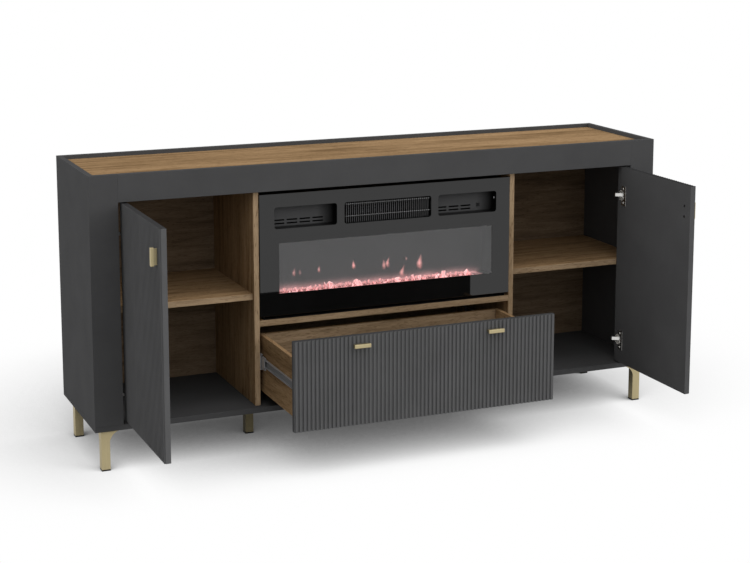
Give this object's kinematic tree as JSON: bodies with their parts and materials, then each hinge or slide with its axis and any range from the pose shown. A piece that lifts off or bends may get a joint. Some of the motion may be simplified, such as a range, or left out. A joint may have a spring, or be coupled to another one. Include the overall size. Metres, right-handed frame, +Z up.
{
  "type": "fireplace tv stand",
  "caption": "Low television cabinet on brass legs with ribbed side doors, a ribbed drawer, side shelves and an electric fireplace insert in the middle.",
  "frame": {"origin": "on the floor, in the middle of the box round the cabinet with its doors open and its drawer pulled out", "axes": "+X along the width, to the right seen from the front; the front faces -Y; +Z up"},
  "size_m": [1.8, 0.7814, 0.85],
  "materials": {
    "anthracite_board": "matte dark grey laminate",
    "oak_board": "oak print with fine grain",
    "oak_sheet": "thin board with an oak print",
    "brushed_brass": "brushed pale brass",
    "black_plastic": "moulded, satin",
    "nickel_steel": "nickel plated",
    "zinc_steel": "zinc plated, dull",
    "dark_sheet": "black powder coat",
    "black_glass": "glossy, painted black behind round the window",
    "smoked_screen": "smoked, half see-through",
    "crystal": "faceted, lit from below",
    "lamp_strip": "lamps on a white board",
    "circuit_board": "lacquered board",
    "heater_ceramic": "dull",
    "rotor_aluminium": "mill finish",
    "mirror_steel": "polished"
  },
  "bodies": {
    "cabinet": {"bottom_panel": "anthracite_board", "side_panel_left": "anthracite_board", "side_panel_right": "anthracite_board", "front_stile_left": "anthracite_board", "front_stile_right": "anthracite_board", "front_rail": "anthracite_board", "back_rail": "anthracite_board", "top_panel": "oak_board", "divider_left": "oak_board", "divider_right": "oak_board", "fireplace_shelf": "oak_board", "shelf_left": "oak_board", "shelf_right": "oak_board", "hinge_battens": "anthracite_board", "side_back_panels": "oak_sheet", "centre_back_panel": "oak_sheet", "legs_corner": "brushed_brass", "legs_middle": "brushed_brass", "foot_pads": "black_plastic", "hinge_plates": "nickel_steel", "hinge_arms": "nickel_steel", "runner_outers": "zinc_steel", "fireplace_housing": "dark_sheet", "fireplace_back_plate": "dark_sheet", "front_glass": "black_glass", "vent_tray": "black_plastic", "control_tray": "black_plastic", "heater_grille": "black_plastic", "heater_element": "heater_ceramic", "blower_housing": "dark_sheet", "blower_motor": "dark_sheet", "ember_tray": "dark_sheet", "ember_light": "lamp_strip", "crystals": "crystal", "flame_screen": "smoked_screen", "flame_motor": "dark_sheet", "control_board": "circuit_board", "cord_gland": "black_plastic"},
    "left_door": {"door_left": "anthracite_board", "hinge_cups_left": "nickel_steel", "door_handle_left": "brushed_brass", "door_screws_left": "nickel_steel"},
    "right_door": {"door_right": "anthracite_board", "hinge_cups_right": "nickel_steel", "door_handle_right": "brushed_brass", "door_screws_right": "nickel_steel"},
    "drawer": {"drawer_front": "anthracite_board", "drawer_side_left": "oak_board", "drawer_side_right": "oak_board", "drawer_back": "oak_board", "drawer_bottom": "oak_sheet", "drawer_handles": "brushed_brass", "drawer_screws": "nickel_steel", "runner_inner_left": "zinc_steel", "runner_inner_right": "zinc_steel"},
    "left_runner": {"runner_middle_left": "zinc_steel"},
    "right_runner": {"runner_middle_right": "zinc_steel"},
    "blower": {"blower_rotor": "rotor_aluminium"},
    "flame_spindle": {"flame_spindle": "mirror_steel"},
    "power_button": {"power_button": "black_plastic"}
  },
  "joints": [
    {"name": "left_door_hinge", "type": "hinge", "parent": "cabinet", "child": "left_door", "pos_m": [-0.799, -0.00075, 0.45375], "axis": [0, 0, -1], "range_deg": [-90, 5]},
    {"name": "right_door_hinge", "type": "hinge", "parent": "cabinet", "child": "right_door", "pos_m": [0.799, -0.00075, 0.45375], "axis": [0, 0, 1], "range_deg": [-90, 5]},
    {"name": "drawer_slide", "type": "slide", "parent": "cabinet", "child": "drawer", "axis": [0, -1, 0], "range_m": [-0.274, 0.026]},
    {"name": "left_runner_slide", "type": "slide", "parent": "cabinet", "child": "left_runner", "axis": [0, -1, 0], "range_m": [-0.137, 0.013]},
    {"name": "right_runner_slide", "type": "slide", "parent": "cabinet", "child": "right_runner", "axis": [0, -1, 0], "range_m": [-0.137, 0.013]},
    {"name": "blower_spin", "type": "hinge", "parent": "cabinet", "child": "blower", "pos_m": [0, 0.09325, 0.70015], "axis": [1, 0, 0], "continuous": true},
    {"name": "flame_spin", "type": "hinge", "parent": "cabinet", "child": "flame_spindle", "pos_m": [0, 0.11175, 0.4672], "axis": [1, 0, 0], "continuous": true},
    {"name": "power_button_press", "type": "slide", "parent": "cabinet", "child": "power_button", "axis": [0, 1, 0], "range_m": [0, 0.002], "stiffness_N_per_m": 150, "springref_m": -0.002}
  ],
  "couplings": [
    {"joint": "left_runner_slide", "follows": "drawer_slide", "ratio": 0.5},
    {"joint": "right_runner_slide", "follows": "drawer_slide", "ratio": 0.5}
  ]
}
